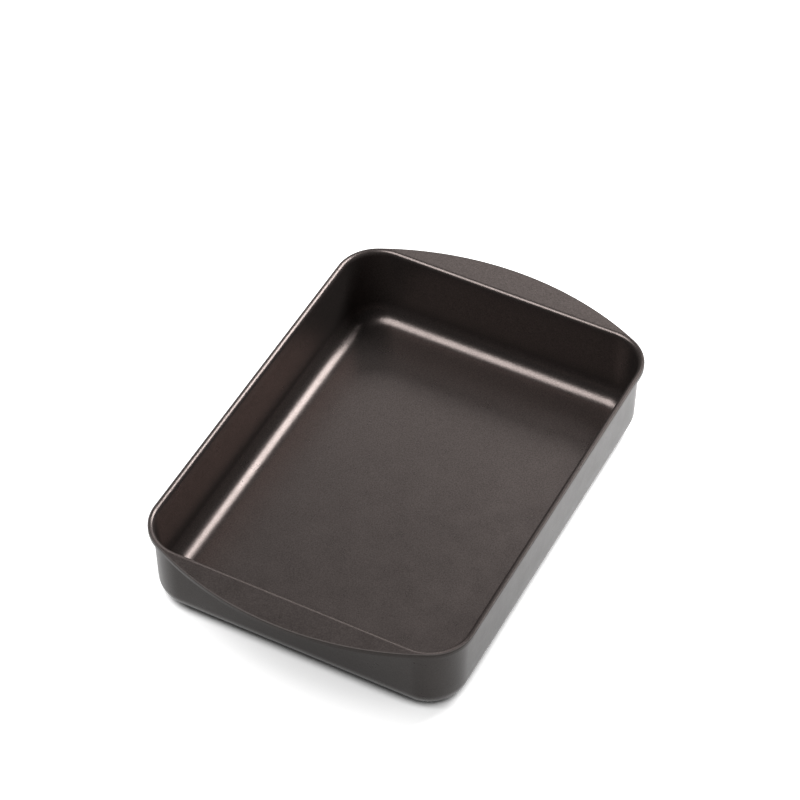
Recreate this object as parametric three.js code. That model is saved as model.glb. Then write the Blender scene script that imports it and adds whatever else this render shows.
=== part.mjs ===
// Roasting pan pressed from one steel sheet, with a crescent handle flange at each short end.
// A non-stick coating lies on both sides of the sheet, so the pan is three nested shells.
// Millimetres, +Z up. The origin is the middle of the underside, and +X runs along the length.
import * as THREE from "three";

// Overall size
const LENGTH = 398;
const WIDTH = 260;
const HEIGHT = 70;

// Outline of the turned-down edge, seen from above
const HANDLE_ARC_RADIUS = 245.5;
const EDGE_CORNER_RADIUS = 35.2;

// Hollow of the pan at the rim
const INSIDE_LENGTH = 342.8;
const RIM_WIDTH = 5.1;

// Section through the sheet, measured on the cooking side
const WALL_DRAFT = THREE.MathUtils.degToRad(1.1);
const FLOOR_FILLET = 16;
const RIM_BEND = 4;
const EDGE_BEND = 0.9;
const TIGHTEST_BEND = 0.2;
const EDGE_DROP = 3.7;

// Layers through the sheet
const STEEL = 1;
const COATING = 0.1;
const BOND_GAP = 0.02;
const SHEET = STEEL + 2 * (COATING + BOND_GAP);

// Steps along each round stretch
const CORNER_STEPS = 8;
const HALF_HANDLE_STEPS = 6;
const FILLET_STEPS = 5;
const RIM_BEND_STEPS = 4;
const EDGE_BEND_STEPS = 3;

const RIGHT_ANGLE = Math.PI / 2;

// Plan of the rim: each handle's arc has its centre on the X axis, and the corner arc touches both the
// long side and the handle's arc from inside. The wall's corner stands RIM_WIDTH inside the edge's.
const ARC_CENTRE = new THREE.Vector2(LENGTH / 2 - HANDLE_ARC_RADIUS, 0);
const CORNER_Y = WIDTH / 2 - EDGE_CORNER_RADIUS;
const CORNER_X = ARC_CENTRE.x + Math.sqrt((HANDLE_ARC_RADIUS - EDGE_CORNER_RADIUS) ** 2 - CORNER_Y ** 2);
const CORNER = new THREE.Vector2(CORNER_X, CORNER_Y);
const WALL_CORNER_RADIUS = EDGE_CORNER_RADIUS - RIM_WIDTH;
const WALL_CORNER = new THREE.Vector2(INSIDE_LENGTH / 2 - WALL_CORNER_RADIUS, CORNER_Y);

// Angle at the corner's centre where the handle's arc takes over from the corner arc
const HANDLE_ANGLE = CORNER.clone().sub(ARC_CENTRE).angle();

// A station holds the wall's point and the edge's point at one place round the rim, with the outward
// direction at each.
function endStation(y) {
  const x = Math.sqrt(HANDLE_ARC_RADIUS ** 2 - y ** 2);
  return {
    wall: new THREE.Vector2(INSIDE_LENGTH / 2, y),
    wallOut: new THREE.Vector2(1, 0),
    edge: new THREE.Vector2(ARC_CENTRE.x + x, y),
    edgeOut: new THREE.Vector2(x, y).divideScalar(HANDLE_ARC_RADIUS),
  };
}

// Distance from the corner's centre to the handle's arc along a direction
function reachToHandleArc(direction) {
  const offset = CORNER.clone().sub(ARC_CENTRE);
  const along = offset.dot(direction);
  return Math.sqrt(along ** 2 - offset.lengthSq() + HANDLE_ARC_RADIUS ** 2) - along;
}

function cornerStation(angle) {
  const direction = new THREE.Vector2(Math.cos(angle), Math.sin(angle));
  const onHandle = angle < HANDLE_ANGLE;
  const reach = onHandle ? reachToHandleArc(direction) : EDGE_CORNER_RADIUS;
  const edge = CORNER.clone().addScaledVector(direction, reach);
  return {
    wall: WALL_CORNER.clone().addScaledVector(direction, WALL_CORNER_RADIUS),
    wallOut: direction,
    edge,
    edgeOut: onHandle ? edge.clone().sub(ARC_CENTRE).normalize() : direction,
  };
}

// Stations of one quarter, from the middle of a handle to the start of a long side
function quarterStations() {
  const stations = [];
  for (let i = 0; i < HALF_HANDLE_STEPS; i++) {
    stations.push(endStation((CORNER.y * i) / HALF_HANDLE_STEPS));
  }
  for (let i = 0; i <= CORNER_STEPS; i++) {
    stations.push(cornerStation((RIGHT_ANGLE * i) / CORNER_STEPS));
  }
  return stations;
}

function mirrored(station, signX, signY) {
  const sign = new THREE.Vector2(signX, signY);
  const entries = Object.entries(station).map(([key, value]) => [key, value.clone().multiply(sign)]);
  return Object.fromEntries(entries);
}

// Stations all round, counter-clockwise from above
function rimStations() {
  const quarter = quarterStations();
  const turned = quarter.slice(1).reverse();
  return [
    ...quarter,
    ...turned.map((station) => mirrored(station, -1, 1)),
    ...quarter.map((station) => mirrored(station, -1, -1)),
    ...turned.map((station) => mirrored(station, 1, -1)),
  ];
}

// Points of a section measured outward from the wall's line or from the edge's line
const fromWall = (out, z) => ({ line: "wall", out, z });
const fromEdge = (out, z) => ({ line: "edge", out, z });

function arc(place, centre, radius, startAngle, endAngle, steps) {
  const points = [];
  for (let i = 0; i <= steps; i++) {
    const angle = startAngle + ((endAngle - startAngle) * i) / steps;
    points.push(place(centre.x + radius * Math.cos(angle), centre.y + radius * Math.sin(angle)));
  }
  return points;
}

// Centres of the floor's fillet and the rim's bend, which every layer shares. x is the way out and y is
// the height.
const RIM_CENTRE = new THREE.Vector2(RIM_BEND, HEIGHT - RIM_BEND);
const FILLET_HEIGHT = SHEET + FLOOR_FILLET;
const FILLET_INSET =
  (RIM_CENTRE.y - FILLET_HEIGHT) * Math.tan(WALL_DRAFT) + (RIM_BEND + FLOOR_FILLET) / Math.cos(WALL_DRAFT);
const FILLET_CENTRE = new THREE.Vector2(RIM_CENTRE.x - FILLET_INSET, FILLET_HEIGHT);

// The sheet's surface at a depth below the cooking side, from the floor up to the rim's flat
function basin(depth) {
  return [
    ...arc(fromWall, FILLET_CENTRE, FLOOR_FILLET + depth, -RIGHT_ANGLE, -WALL_DRAFT, FILLET_STEPS),
    ...arc(fromWall, RIM_CENTRE, RIM_BEND - depth, Math.PI - WALL_DRAFT, RIGHT_ANGLE, RIM_BEND_STEPS),
  ];
}

// The same surface from the rim's flat over the turned-down edge to its lowest point
function turnedEdge(depth, lowestPoint) {
  const bend = Math.max(EDGE_BEND - depth, TIGHTEST_BEND);
  const centre = new THREE.Vector2(-depth - bend, HEIGHT - depth - bend);
  return [...arc(fromEdge, centre, bend, RIGHT_ANGLE, 0, EDGE_BEND_STEPS), fromEdge(-depth, lowestPoint)];
}

// Loft a closed section round the rim. The first and the last point lie on the two faces of the floor,
// which are filled in to the middle.
function loft(section, stations) {
  const positions = [];
  for (const { line, out, z } of section) {
    for (const station of stations) {
      const point = station[line].clone().addScaledVector(station[line + "Out"], out);
      positions.push(point.x, point.y, z);
    }
  }
  const count = stations.length;
  const last = section.length - 1;
  const topMiddle = positions.length / 3;
  const underMiddle = topMiddle + 1;
  positions.push(0, 0, section[0].z, 0, 0, section[last].z);

  const triangles = [];
  for (let i = 0; i < count; i++) {
    const next = (i + 1) % count;
    for (let ring = 0; ring < last; ring++) {
      const here = ring * count;
      const beyond = here + count;
      triangles.push(here + i, beyond + i, beyond + next);
      triangles.push(here + i, beyond + next, here + next);
    }
    triangles.push(topMiddle, i, next);
    triangles.push(underMiddle, last * count + next, last * count + i);
  }
  const geometry = new THREE.BufferGeometry();
  geometry.setAttribute("position", new THREE.Float32BufferAttribute(positions, 3));
  geometry.setIndex(triangles);
  geometry.computeVertexNormals();
  return geometry;
}

const EDGE_BOTTOM = HEIGHT - EDGE_DROP;
const STEEL_DEPTH = COATING + BOND_GAP;

function steelSection() {
  const lowest = EDGE_BOTTOM + STEEL_DEPTH;
  const upper = [...basin(STEEL_DEPTH), ...turnedEdge(STEEL_DEPTH, lowest)];
  const under = [...basin(STEEL_DEPTH + STEEL), ...turnedEdge(STEEL_DEPTH + STEEL, lowest)];
  return [...upper, ...under.reverse()];
}

// The inner coating ends where the rim's edge begins to turn down.
function interiorCoatingSection() {
  const end = -EDGE_BEND - BOND_GAP;
  return [
    ...basin(0),
    fromEdge(end, HEIGHT),
    fromEdge(end, HEIGHT - COATING),
    ...basin(COATING).reverse(),
  ];
}

// The outer coating wraps the turned-down edge and meets the inner coating on top of it.
function exteriorCoatingSection() {
  const foldTop = EDGE_BOTTOM + COATING;
  const steelSide = [...basin(SHEET - COATING), ...turnedEdge(SHEET - COATING, foldTop)];
  const outside = [...basin(SHEET), ...turnedEdge(SHEET, EDGE_BOTTOM)];
  return [
    ...steelSide,
    ...turnedEdge(COATING, foldTop).reverse(),
    ...turnedEdge(0, EDGE_BOTTOM),
    ...outside.reverse(),
  ];
}

const coatingMaterial = new THREE.MeshStandardMaterial({ color: "#5a5250", roughness: 0.4, metalness: 0.5 });
const steelMaterial = new THREE.MeshStandardMaterial({ color: "#b7babd", roughness: 0.35, metalness: 1 });

function shell(name, section, stations, material) {
  const mesh = new THREE.Mesh(loft(section, stations), material);
  mesh.name = name;
  return mesh;
}

function roastingPan() {
  const stations = rimStations();
  const pan = new THREE.Group();
  pan.name = "roasting_pan";
  pan.add(shell("steel_pressing", steelSection(), stations, steelMaterial));
  pan.add(shell("interior_coating", interiorCoatingSection(), stations, coatingMaterial));
  pan.add(shell("exterior_coating", exteriorCoatingSection(), stations, coatingMaterial));
  return pan;
}

export default roastingPan();
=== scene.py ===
"""Roasting pan of coated pressed steel, on a white studio floor. Metres, +Z up."""
import math
from collections import namedtuple

import bmesh
import bpy
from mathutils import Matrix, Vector

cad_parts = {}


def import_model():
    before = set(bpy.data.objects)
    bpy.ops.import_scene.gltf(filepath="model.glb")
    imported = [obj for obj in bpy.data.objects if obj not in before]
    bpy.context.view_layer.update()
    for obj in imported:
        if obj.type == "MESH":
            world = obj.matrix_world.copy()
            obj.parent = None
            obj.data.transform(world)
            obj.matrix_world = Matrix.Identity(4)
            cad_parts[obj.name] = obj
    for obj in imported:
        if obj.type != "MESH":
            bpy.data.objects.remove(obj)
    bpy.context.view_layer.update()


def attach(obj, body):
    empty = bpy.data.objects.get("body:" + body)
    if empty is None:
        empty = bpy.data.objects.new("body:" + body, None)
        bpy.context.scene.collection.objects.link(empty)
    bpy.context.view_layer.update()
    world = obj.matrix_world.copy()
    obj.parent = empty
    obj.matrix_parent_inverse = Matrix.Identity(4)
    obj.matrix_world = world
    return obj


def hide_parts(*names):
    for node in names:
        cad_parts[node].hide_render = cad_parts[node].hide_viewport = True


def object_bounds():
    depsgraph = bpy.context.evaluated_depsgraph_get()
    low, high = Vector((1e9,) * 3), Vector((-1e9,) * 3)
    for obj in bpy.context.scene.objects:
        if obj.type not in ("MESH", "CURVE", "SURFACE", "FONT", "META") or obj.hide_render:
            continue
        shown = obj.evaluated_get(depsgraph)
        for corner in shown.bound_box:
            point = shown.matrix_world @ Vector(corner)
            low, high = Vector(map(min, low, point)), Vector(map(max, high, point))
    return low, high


MM = 0.001
RIGHT_ANGLE = math.pi / 2

# Plan of the rim
HANDLE_ARC_RADIUS = 245.5 * MM
EDGE_CORNER_RADIUS = 35.2 * MM
INSIDE_LENGTH = 342.8 * MM
RIM_WIDTH = 5.1 * MM

# Section through the sheet, measured on the cooking side
WALL_DRAFT = math.radians(1.1)
FLOOR_FILLET = 16 * MM
RIM_BEND = 4 * MM
EDGE_BEND = 0.9 * MM
TIGHTEST_BEND = 0.2 * MM
EDGE_DROP = 3.7 * MM

# Layers through the sheet
STEEL = 1 * MM
COATING = 0.1 * MM
BOND_GAP = 0.02 * MM
SHEET = STEEL + 2 * (COATING + BOND_GAP)
STEEL_DEPTH = COATING + BOND_GAP

# Mesh steps along each stretch
HALF_SIDE_STEPS = 16
CORNER_STEPS = 20
HALF_HANDLE_STEPS = 24
FILLET_STEPS = 18
WALL_STEPS = 6
RIM_BEND_STEPS = 10
EDGE_BEND_STEPS = 8

# Narrow strips of mesh beside the bends, which keep the flats looking flat
FLOOR_GUARD = 0.6 * MM
RIM_GUARD = 0.05 * MM

# Corners steeper than this stay crisp
SHARP_ANGLE = math.radians(40)

# Centres and sizes that set the plan of the rim
Plan = namedtuple("Plan", "handle_centre corner_centre wall_centre wall_radius half_width height")

# One place round the rim: the wall's point and the edge's point, with the outward direction at each
Station = namedtuple("Station", "wall wall_out edge edge_out")

# A point of the sheet's section: the line it is measured from, how far outward, and how high
SectionPoint = namedtuple("SectionPoint", "on_edge out height")
ON_WALL = False
ON_EDGE = True


def plan_of(top_corner):
    """The rim's plan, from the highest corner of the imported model's own box."""
    half_length, half_width, height = top_corner
    handle_x = half_length - HANDLE_ARC_RADIUS
    corner_y = half_width - EDGE_CORNER_RADIUS
    corner_x = handle_x + math.sqrt((HANDLE_ARC_RADIUS - EDGE_CORNER_RADIUS) ** 2 - corner_y ** 2)
    wall_radius = EDGE_CORNER_RADIUS - RIM_WIDTH
    return Plan(
        handle_centre=Vector((handle_x, 0)),
        corner_centre=Vector((corner_x, corner_y)),
        wall_centre=Vector((INSIDE_LENGTH / 2 - wall_radius, corner_y)),
        wall_radius=wall_radius,
        half_width=half_width,
        height=height,
    )


def end_station(plan, y):
    """A place on the straight end wall, and on the handle's arc outside it."""
    x = math.sqrt(HANDLE_ARC_RADIUS ** 2 - y ** 2)
    return Station(
        wall=Vector((INSIDE_LENGTH / 2, y)),
        wall_out=Vector((1, 0)),
        edge=Vector((plan.handle_centre.x + x, y)),
        edge_out=Vector((x, y)) / HANDLE_ARC_RADIUS,
    )


def corner_station(plan, angle):
    """A place on the wall's corner, and on the handle's arc or the edge's corner outside it."""
    direction = Vector((math.cos(angle), math.sin(angle)))
    offset = plan.corner_centre - plan.handle_centre
    on_handle = angle < math.atan2(offset.y, offset.x)
    reach = EDGE_CORNER_RADIUS
    if on_handle:
        along = offset.dot(direction)
        reach = math.sqrt(along ** 2 - offset.length_squared + HANDLE_ARC_RADIUS ** 2) - along
    edge = plan.corner_centre + direction * reach
    return Station(
        wall=plan.wall_centre + direction * plan.wall_radius,
        wall_out=direction,
        edge=edge,
        edge_out=(edge - plan.handle_centre).normalized() if on_handle else direction,
    )


def side_station(plan, share):
    """A place along a long side, from the corner at share 1 to the middle at share 0."""
    outward = Vector((0, 1))
    return Station(
        wall=Vector((plan.wall_centre.x * share, plan.wall_centre.y + plan.wall_radius)),
        wall_out=outward,
        edge=Vector((plan.corner_centre.x * share, plan.half_width)),
        edge_out=outward,
    )


def mirrored(stations, sign_x, sign_y):
    return [Station(*(Vector((v.x * sign_x, v.y * sign_y)) for v in station)) for station in stations]


def rim_stations(plan):
    """Stations all round the rim, counter-clockwise from above."""
    handle_y = plan.corner_centre.y
    quarter = [end_station(plan, handle_y * i / HALF_HANDLE_STEPS) for i in range(HALF_HANDLE_STEPS)]
    quarter += [corner_station(plan, RIGHT_ANGLE * i / CORNER_STEPS) for i in range(CORNER_STEPS)]
    quarter += [side_station(plan, 1 - i / HALF_SIDE_STEPS) for i in range(HALF_SIDE_STEPS + 1)]
    turned = quarter[::-1]
    quarters = (quarter, mirrored(turned, -1, 1), mirrored(quarter, -1, -1), mirrored(turned, 1, -1))
    return [station for stretch in quarters for station in stretch[:-1]]


def arc(on_edge, centre, radius, start, end, steps):
    points = []
    for i in range(steps + 1):
        angle = start + (end - start) * i / steps
        out = centre[0] + radius * math.cos(angle)
        points.append(SectionPoint(on_edge, out, centre[1] + radius * math.sin(angle)))
    return points


def basin(height, depth):
    """The sheet's surface at a depth under the cooking side, from the floor up to the rim's flat."""
    rim_z = height - RIM_BEND
    fillet_z = SHEET + FLOOR_FILLET
    lean = (rim_z - fillet_z) * math.tan(WALL_DRAFT)
    fillet_out = RIM_BEND - lean - (RIM_BEND + FLOOR_FILLET) / math.cos(WALL_DRAFT)
    fillet_radius = FLOOR_FILLET + depth
    fillet = arc(ON_WALL, (fillet_out, fillet_z), fillet_radius, -RIGHT_ANGLE, -WALL_DRAFT, FILLET_STEPS)
    bend_radius = RIM_BEND - depth
    bend = arc(ON_WALL, (RIM_BEND, rim_z), bend_radius, math.pi - WALL_DRAFT, RIGHT_ANGLE, RIM_BEND_STEPS)
    foot = fillet[-1]
    head = bend[0]
    wall = []
    for i in range(1, WALL_STEPS):
        share = i / WALL_STEPS
        out = foot.out + (head.out - foot.out) * share
        wall.append(SectionPoint(ON_WALL, out, foot.height + (head.height - foot.height) * share))
    floor_guard = SectionPoint(ON_WALL, fillet_out - FLOOR_GUARD, SHEET - depth)
    rim_guard = SectionPoint(ON_WALL, RIM_BEND + RIM_GUARD, height - depth)
    return [floor_guard, *fillet, *wall, *bend, rim_guard]


def turned_edge(height, depth, lowest):
    """The same surface from the rim's flat over the turned-down edge to its lowest point."""
    bend = max(EDGE_BEND - depth, TIGHTEST_BEND)
    inset = depth + bend
    curve = arc(ON_EDGE, (-inset, height - inset), bend, RIGHT_ANGLE, 0, EDGE_BEND_STEPS)
    return [*curve, SectionPoint(ON_EDGE, -depth, lowest)]


def rim_end(height, depth, inset):
    """The last point of the rim's flat, inset from the edge, and its guard."""
    level = height - depth
    return [SectionPoint(ON_EDGE, -inset - RIM_GUARD, level), SectionPoint(ON_EDGE, -inset, level)]


def steel_section(height):
    under = STEEL_DEPTH + STEEL
    lowest = height - EDGE_DROP + STEEL_DEPTH
    outward = basin(height, STEEL_DEPTH) + turned_edge(height, STEEL_DEPTH, lowest)
    inward = basin(height, under) + turned_edge(height, under, lowest)
    return outward + inward[::-1]


def inner_section(height):
    """The inner coating ends where the rim's edge begins to turn down."""
    inset = EDGE_BEND + BOND_GAP
    outward = basin(height, 0) + rim_end(height, 0, inset)
    inward = basin(height, COATING) + rim_end(height, COATING, inset)
    return outward + inward[::-1]


def outer_section(height):
    """The outer coating wraps the turned-down edge and meets the inner coating on top of it."""
    steel_side = SHEET - COATING
    lowest = height - EDGE_DROP
    fold_top = lowest + COATING
    outward = basin(height, steel_side) + turned_edge(height, steel_side, fold_top)
    wrap = turned_edge(height, COATING, fold_top)[::-1] + turned_edge(height, 0, lowest)
    inward = basin(height, SHEET) + turned_edge(height, SHEET, lowest)
    return outward + wrap + inward[::-1]


def mesh_object(name, bm):
    """An object in the scene with the mesh that was built, which is then freed."""
    mesh = bpy.data.meshes.new(name)
    bm.to_mesh(mesh)
    bm.free()
    shape = bpy.data.objects.new(name, mesh)
    bpy.context.scene.collection.objects.link(shape)
    return shape


def ring_of(bm, point, stations):
    """One point of the section, carried round the rim."""
    ring = []
    for station in stations:
        if point.on_edge:
            flat = station.edge + station.edge_out * point.out
        else:
            flat = station.wall + station.wall_out * point.out
        ring.append(bm.verts.new((flat.x, flat.y, point.height)))
    return ring


def loft(name, section, stations):
    """A closed shell: the section carried round the rim, with the floor's two faces filled in."""
    bm = bmesh.new()
    rings = [ring_of(bm, point, stations) for point in section]
    neighbours = [(i, (i + 1) % len(stations)) for i in range(len(stations))]
    for here, beyond in zip(rings, rings[1:]):
        for i, j in neighbours:
            bm.faces.new((here[i], beyond[i], beyond[j], here[j]))
    top = bm.verts.new((0, 0, section[0].height))
    under = bm.verts.new((0, 0, section[-1].height))
    for i, j in neighbours:
        bm.faces.new((top, rings[0][i], rings[0][j]))
        bm.faces.new((under, rings[-1][j], rings[-1][i]))
    shell = mesh_object(name, bm)
    shell.data.polygons.foreach_set("use_smooth", [True] * len(shell.data.polygons))
    shell.data.set_sharp_from_angle(angle=SHARP_ANGLE)
    return shell


# The range that most of a noise's values lie in
NOISE_RANGE = (0.3, 0.7)


class Nodes:
    """A material's node tree, with short ways to add and link nodes."""

    def __init__(self, name):
        self.material = bpy.data.materials.new(name)
        self.material.use_nodes = True
        self.tree = self.material.node_tree
        self.tree.nodes.clear()
        self.output = self.add("ShaderNodeOutputMaterial")
        self.place = self.add("ShaderNodeTexCoord").outputs["Object"]

    def add(self, kind, **settings):
        node = self.tree.nodes.new(kind)
        for key, value in settings.items():
            setattr(node, key, value)
        return node

    def link(self, source, target):
        self.tree.links.new(source, target)

    def show(self, shader):
        """Make a shader's output the material's surface."""
        self.link(shader, self.output.inputs["Surface"])

    def along(self, axis):
        """The place along X, Y or Z."""
        node = self.add("ShaderNodeSeparateXYZ")
        self.link(self.place, node.inputs["Vector"])
        return node.outputs[axis]

    def noise(self, place, scale, detail, roughness=0.5):
        node = self.add("ShaderNodeTexNoise")
        node.inputs["Scale"].default_value = scale
        node.inputs["Detail"].default_value = detail
        node.inputs["Roughness"].default_value = roughness
        self.link(place, node.inputs["Vector"])
        return node.outputs["Fac"]

    def spread(self, value, low, high, source=NOISE_RANGE, curve="LINEAR"):
        """Stretch a value from its source range to the range from low to high."""
        node = self.add("ShaderNodeMapRange", interpolation_type=curve)
        node.inputs["From Min"].default_value = source[0]
        node.inputs["From Max"].default_value = source[1]
        node.inputs["To Min"].default_value = low
        node.inputs["To Max"].default_value = high
        self.link(value, node.inputs["Value"])
        return node.outputs["Result"]

    def combine(self, operation, first, second):
        node = self.add("ShaderNodeMath", operation=operation)
        self.link(first, node.inputs[0])
        self.link(second, node.inputs[1])
        return node.outputs["Value"]

    def blend(self, factor, first, second):
        """Mix two colours. Each is three numbers, or another node's output."""
        node = self.add("ShaderNodeMix", data_type="RGBA")
        for colour, socket in ((first, node.inputs["A"]), (second, node.inputs["B"])):
            if isinstance(colour, bpy.types.NodeSocket):
                self.link(colour, socket)
            else:
                socket.default_value = (*colour, 1)
        self.link(factor, node.inputs["Factor"])
        return node.outputs["Result"]


# The coating's flakes, ripples and mottled gloss: the scale of each is in cells per metre
FLAKE_SCALE = 950
FLAKE_DETAIL = 3
RIPPLE_SCALE = 650
RIPPLE_DETAIL = 1
RIPPLE_HEIGHT = 0.04 * MM
MOTTLE_SCALE = 40
MOTTLE_DETAIL = 5
MOTTLE_ROUGHNESS = 0.75
SATIN_ROUGHNESS = (0.265, 0.325)


def coating(name, dark, light):
    """A satin film full of fine flakes, between two colours. The caller sets its gloss on the shader."""
    nodes = Nodes(name)
    flakes = nodes.noise(nodes.place, FLAKE_SCALE, FLAKE_DETAIL)
    ripples = nodes.noise(nodes.place, RIPPLE_SCALE, RIPPLE_DETAIL)
    mottle = nodes.noise(nodes.place, MOTTLE_SCALE, MOTTLE_DETAIL, MOTTLE_ROUGHNESS)
    bump = nodes.add("ShaderNodeBump")
    bump.inputs["Distance"].default_value = RIPPLE_HEIGHT
    nodes.link(ripples, bump.inputs["Height"])
    shader = nodes.add("ShaderNodeBsdfPrincipled")
    colour = nodes.blend(nodes.spread(flakes, 0, 1), dark, light)
    nodes.link(colour, shader.inputs["Base Color"])
    nodes.link(nodes.spread(mottle, *SATIN_ROUGHNESS), shader.inputs["Roughness"])
    nodes.link(bump.outputs["Normal"], shader.inputs["Normal"])
    nodes.show(shader.outputs["BSDF"])
    return nodes, shader, colour


# Outer film: its flakes and its gloss
OUTSIDE_DARK = (0.016, 0.013, 0.0115)
OUTSIDE_LIGHT = (0.028, 0.023, 0.0205)
OUTSIDE_IOR = 1.5
OUTSIDE_TINT = (0.3, 0.24, 0.216)

# A painted highlight: the film's colour is lighter over the bend of the edge, between these heights
EDGE_HIGHLIGHT_COLOUR = (0.135, 0.121, 0.116)
EDGE_HIGHLIGHT_HEIGHTS = (69.2 * MM, 69.8 * MM)


def outside_material():
    """Dark film that reflects a little warm, with a painted highlight along the edge."""
    nodes, shader, colour = coating("exterior_non_stick", OUTSIDE_DARK, OUTSIDE_LIGHT)
    shader.inputs["IOR"].default_value = OUTSIDE_IOR
    shader.inputs["Specular Tint"].default_value = (*OUTSIDE_TINT, 1)
    # Painted highlight: a lighter base colour over the bend of the edge stands in for its reflection
    edge_highlight_mask = nodes.spread(nodes.along("Z"), 0, 1, EDGE_HIGHLIGHT_HEIGHTS)
    nodes.link(nodes.blend(edge_highlight_mask, colour, EDGE_HIGHLIGHT_COLOUR), shader.inputs["Base Color"])
    return nodes.material


# Inner film: its flakes, the share of them that is metal, and its gloss
INSIDE_DARK = (0.107, 0.0905, 0.0857)
INSIDE_LIGHT = (0.166, 0.14, 0.1325)
INSIDE_METAL = 0.75
INSIDE_IOR = 1.0
INSIDE_TINT = (0.27, 0.27, 0.27)


def inside_material():
    """Bronze-grey metal flakes in a dark film."""
    nodes, shader, _ = coating("interior_non_stick", INSIDE_DARK, INSIDE_LIGHT)
    shader.inputs["Metallic"].default_value = INSIDE_METAL
    shader.inputs["IOR"].default_value = INSIDE_IOR
    shader.inputs["Specular Tint"].default_value = (*INSIDE_TINT, 1)
    return nodes.material


# Streaks of the bare sheet, drawn out along X
STREAK_SCALE = 60
STREAK_DETAIL = 3
STREAK_SQUEEZE = (1, 40, 40)
STEEL_DARK = (0.5, 0.5, 0.5)
STEEL_LIGHT = (0.62, 0.62, 0.63)
STEEL_ROUGHNESS = (0.3, 0.42)


def steel_material():
    """Bare cold-rolled sheet, with faint streaks along the rolling direction."""
    nodes = Nodes("steel_sheet")
    squeeze = nodes.add("ShaderNodeMapping")
    squeeze.inputs["Scale"].default_value = STREAK_SQUEEZE
    nodes.link(nodes.place, squeeze.inputs["Vector"])
    streaks = nodes.noise(squeeze.outputs["Vector"], STREAK_SCALE, STREAK_DETAIL)
    shader = nodes.add("ShaderNodeBsdfPrincipled")
    shader.inputs["Metallic"].default_value = 1.0
    colour = nodes.blend(nodes.spread(streaks, 0, 1), STEEL_DARK, STEEL_LIGHT)
    nodes.link(colour, shader.inputs["Base Color"])
    nodes.link(nodes.spread(streaks, *STEEL_ROUGHNESS), shader.inputs["Roughness"])
    nodes.show(shader.outputs["BSDF"])
    return nodes.material


def pan_pieces():
    plan = plan_of(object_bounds()[1])
    stations = rim_stations(plan)
    rows = (
        ("cooking_side_coating", inner_section, "interior_coating", "interior_non_stick", inside_material()),
        ("pressed_sheet", steel_section, "steel_pressing", "steel_sheet", steel_material()),
        ("outside_coating", outer_section, "exterior_coating", "exterior_non_stick", outside_material()),
    )
    for name, section, node, slot, material in rows:
        shell = loft(name, section(plan.height), stations)
        shell.data.materials.append(material)
        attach(shell, "root")
        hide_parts(node)


FLOOR_SIZE = 40

# How far the paper's look is lifted towards white. It is less in front of the pan than beside and behind it,
# and the lift changes from one to the other over each of these stretches of X.
FRONT_LIFT = 0.68
BACK_LIFT = 1.0
FAR_FRONT_X = (-1.2, -0.7)
BESIDE_X = (-0.18, 0.06)

# How open a place on the paper is: the share of the sky that nothing within this reach hides. The lift
# fades in over one range of it, and below the other the paper's colour is darkened with painted shade, right
# against the pan.
OPEN_REACH = 0.03
LIFT_OPEN = (0.27, 0.5)
PAINTED_SHADE_OPEN = (0.1, 0.28)
PAINTED_SHADE_PAPER = (0.1, 0.1, 0.1)
OPEN_PAPER = (0.9, 0.9, 0.9)


def seen_rays(nodes):
    """1 for rays from the camera, and for rays that glossy and clear surfaces send on. 0 for the rest."""
    rays = nodes.add("ShaderNodeLightPath").outputs
    seen = nodes.combine("MAXIMUM", rays["Is Camera Ray"], rays["Is Glossy Ray"])
    return nodes.combine("MAXIMUM", seen, rays["Is Transmission Ray"])


def paper_lift(nodes, openness):
    """How much brighter the paper looks than its lit colour."""
    x = nodes.along("X")
    far_front = nodes.spread(x, BACK_LIFT, FRONT_LIFT, FAR_FRONT_X, "SMOOTHSTEP")
    beside = nodes.spread(x, FRONT_LIFT, BACK_LIFT, BESIDE_X, "SMOOTHSTEP")
    rise = nodes.combine("MAXIMUM", far_front, beside)
    clear = nodes.combine("MULTIPLY", nodes.spread(openness, 0, 1, LIFT_OPEN), rise)
    return nodes.combine("MULTIPLY", seen_rays(nodes), clear)


def floor_material():
    """White paper, lifted towards white as the camera and shiny surfaces see it, with painted shade
    darkening its colour against the pan.
    """
    nodes = Nodes("studio_paper")
    open_air = nodes.add("ShaderNodeAmbientOcclusion")
    open_air.inputs["Distance"].default_value = OPEN_REACH
    openness = open_air.outputs["AO"]
    paper = nodes.add("ShaderNodeBsdfDiffuse")
    # Painted shade: the paper's colour darkens right against the pan, where its contact shadow falls
    colour = nodes.blend(nodes.spread(openness, 0, 1, PAINTED_SHADE_OPEN), PAINTED_SHADE_PAPER, OPEN_PAPER)
    nodes.link(colour, paper.inputs["Color"])
    glow = nodes.add("ShaderNodeEmission")
    nodes.link(paper_lift(nodes, openness), glow.inputs["Strength"])
    both = nodes.add("ShaderNodeAddShader")
    nodes.link(paper.outputs["BSDF"], both.inputs[0])
    nodes.link(glow.outputs["Emission"], both.inputs[1])
    nodes.show(both.outputs["Shader"])
    return nodes.material


def floor():
    bm = bmesh.new()
    bmesh.ops.create_grid(bm, x_segments=1, y_segments=1, size=FLOOR_SIZE / 2)
    sheet = mesh_object("studio_floor", bm)
    sheet.data.materials.append(floor_material())


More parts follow.
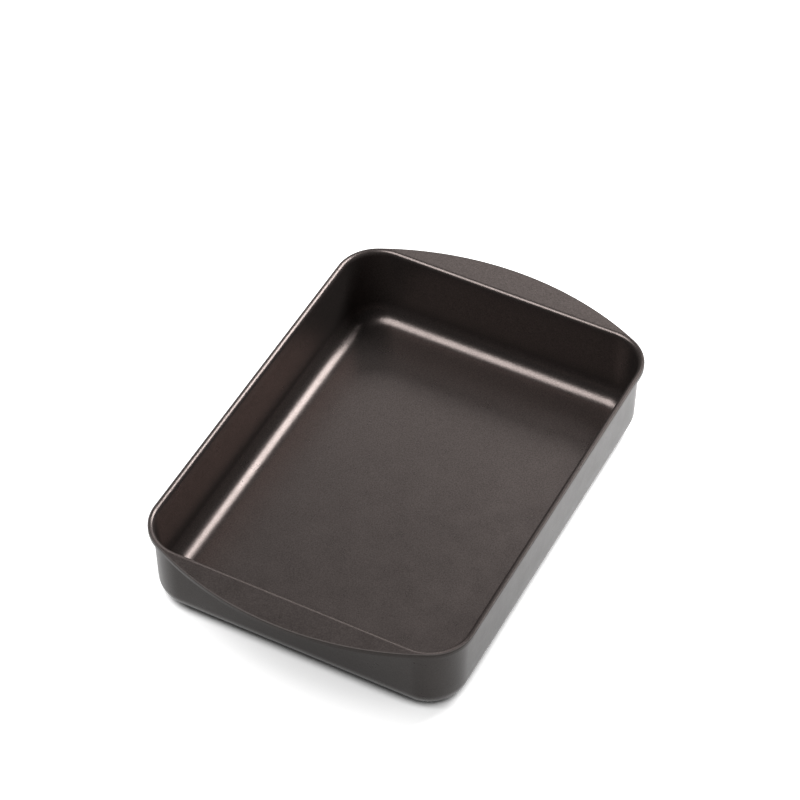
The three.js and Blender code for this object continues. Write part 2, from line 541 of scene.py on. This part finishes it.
# Softboxes. The way to each from the pan is its elevation and its bearing from +X, in degrees. Brightness is
# the power of each square metre of its face, divided by pi.
SOFTBOXES = {
    "key": {"elevation": 45.8, "bearing": -25.8, "distance": 1.36, "size": (0.6, 0.6), "brightness": 12.8},
    "top": {"elevation": 66.7, "bearing": 125, "distance": 1.7, "size": (0.85, 0.85), "brightness": 7.0},
    "back": {"elevation": 26, "bearing": 20, "distance": 1.7, "size": (1.2, 1.15), "brightness": 1.28},
}
WORLD_BRIGHTNESS = 0.02


def way_to(elevation, bearing):
    """The direction at an elevation and a bearing from +X, in degrees."""
    up = math.radians(elevation)
    turn = math.radians(bearing)
    return Vector((math.cos(up) * math.cos(turn), math.cos(up) * math.sin(turn), math.sin(up)))


def softbox(name, elevation, bearing, distance, size, brightness):
    """An area light facing the pan, out of the camera's sight."""
    lamp = bpy.data.lights.new(name, "AREA")
    lamp.shape = "RECTANGLE"
    lamp.size, lamp.size_y = size
    lamp.energy = brightness * math.pi * size[0] * size[1]
    way = way_to(elevation, bearing)
    box = bpy.data.objects.new(name, lamp)
    box.location = way * distance
    box.rotation_mode = "QUATERNION"
    box.rotation_quaternion = (-way).to_track_quat("-Z", "Y")
    box.visible_camera = False
    bpy.context.scene.collection.objects.link(box)


def world():
    sky = bpy.data.worlds.new("studio")
    sky.use_nodes = True
    background = sky.node_tree.nodes["Background"]
    background.inputs["Color"].default_value = (1, 1, 1, 1)
    background.inputs["Strength"].default_value = WORLD_BRIGHTNESS
    bpy.context.scene.world = sky


# The photograph's view, with no roll
CAMERA_PLACE = Vector((-1.3203, -0.6837, 1.6948))
CAMERA_TARGET = Vector((0.0633, 0.0349, 0.035))
LENS_MM = 133.57
SENSOR_MM = 36


def camera():
    lens = bpy.data.cameras.new("camera")
    lens.lens = LENS_MM
    lens.sensor_width = SENSOR_MM
    eye = bpy.data.objects.new("camera", lens)
    eye.location = CAMERA_PLACE
    eye.rotation_mode = "QUATERNION"
    eye.rotation_quaternion = (CAMERA_TARGET - CAMERA_PLACE).to_track_quat("-Z", "Y")
    bpy.context.scene.collection.objects.link(eye)
    bpy.context.scene.camera = eye


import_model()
bpy.context.scene.view_settings.view_transform = "Standard"
camera()
pan_pieces()
floor()
for softbox_name, settings in SOFTBOXES.items():
    softbox(softbox_name, **settings)
world()
